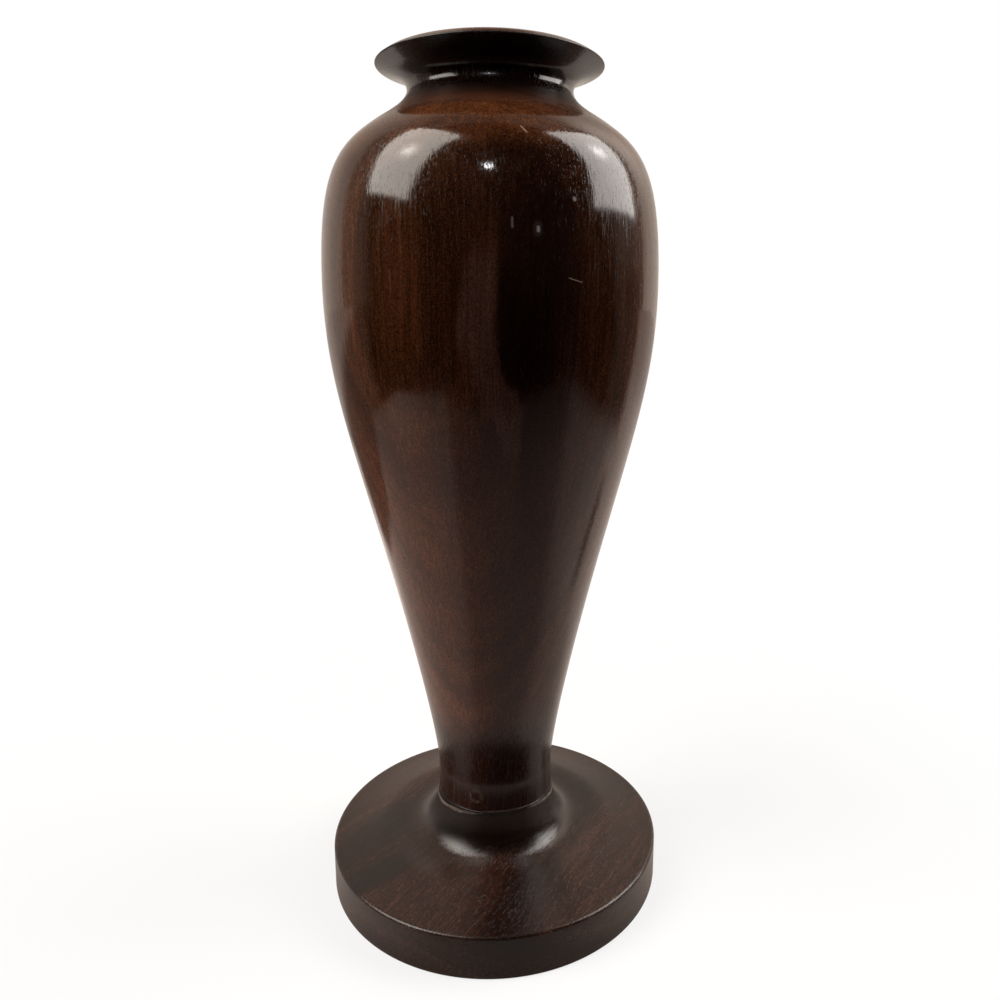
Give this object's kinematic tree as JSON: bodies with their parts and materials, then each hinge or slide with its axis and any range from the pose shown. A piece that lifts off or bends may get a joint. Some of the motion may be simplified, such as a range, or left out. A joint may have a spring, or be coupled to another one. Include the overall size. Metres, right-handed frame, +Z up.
{
  "type": "turned wooden bud vase",
  "caption": "Tall turned hardwood vase with a flared lip, round shoulder, long tapering body and a disc foot, holding a lift-out glass tube for water.",
  "frame": {"origin": "centre of the ring that the foot stands on, at table height", "axes": "+Z up along the turning axis; the vase is round, so +X and +Y are free, with -Y towards the viewer of the picture"},
  "size_m": [0.0952, 0.0952, 0.2312],
  "materials": {
    "body_wood": "dark brown hardwood, grain upright, high gloss lacquer",
    "foot_wood": "dark brown hardwood, grain across the disc, gloss lacquer",
    "dowel_beech": "bare beech, fluted, glued",
    "liner_glass": "clear drawn tube, fire-polished bead",
    "baize": "green woollen baize, short nap"
  },
  "bodies": {
    "vase": {"vase_body": "body_wood", "foot": "foot_wood", "joint_dowel": "dowel_beech", "baize_pad": "baize"},
    "liner": {"glass_liner": "liner_glass"}
  },
  "joints": [
    {"name": "liner_lift", "type": "slide", "parent": "vase", "child": "liner", "axis": [0, 0, 1], "range_m": [0, 0.16]}
  ]
}
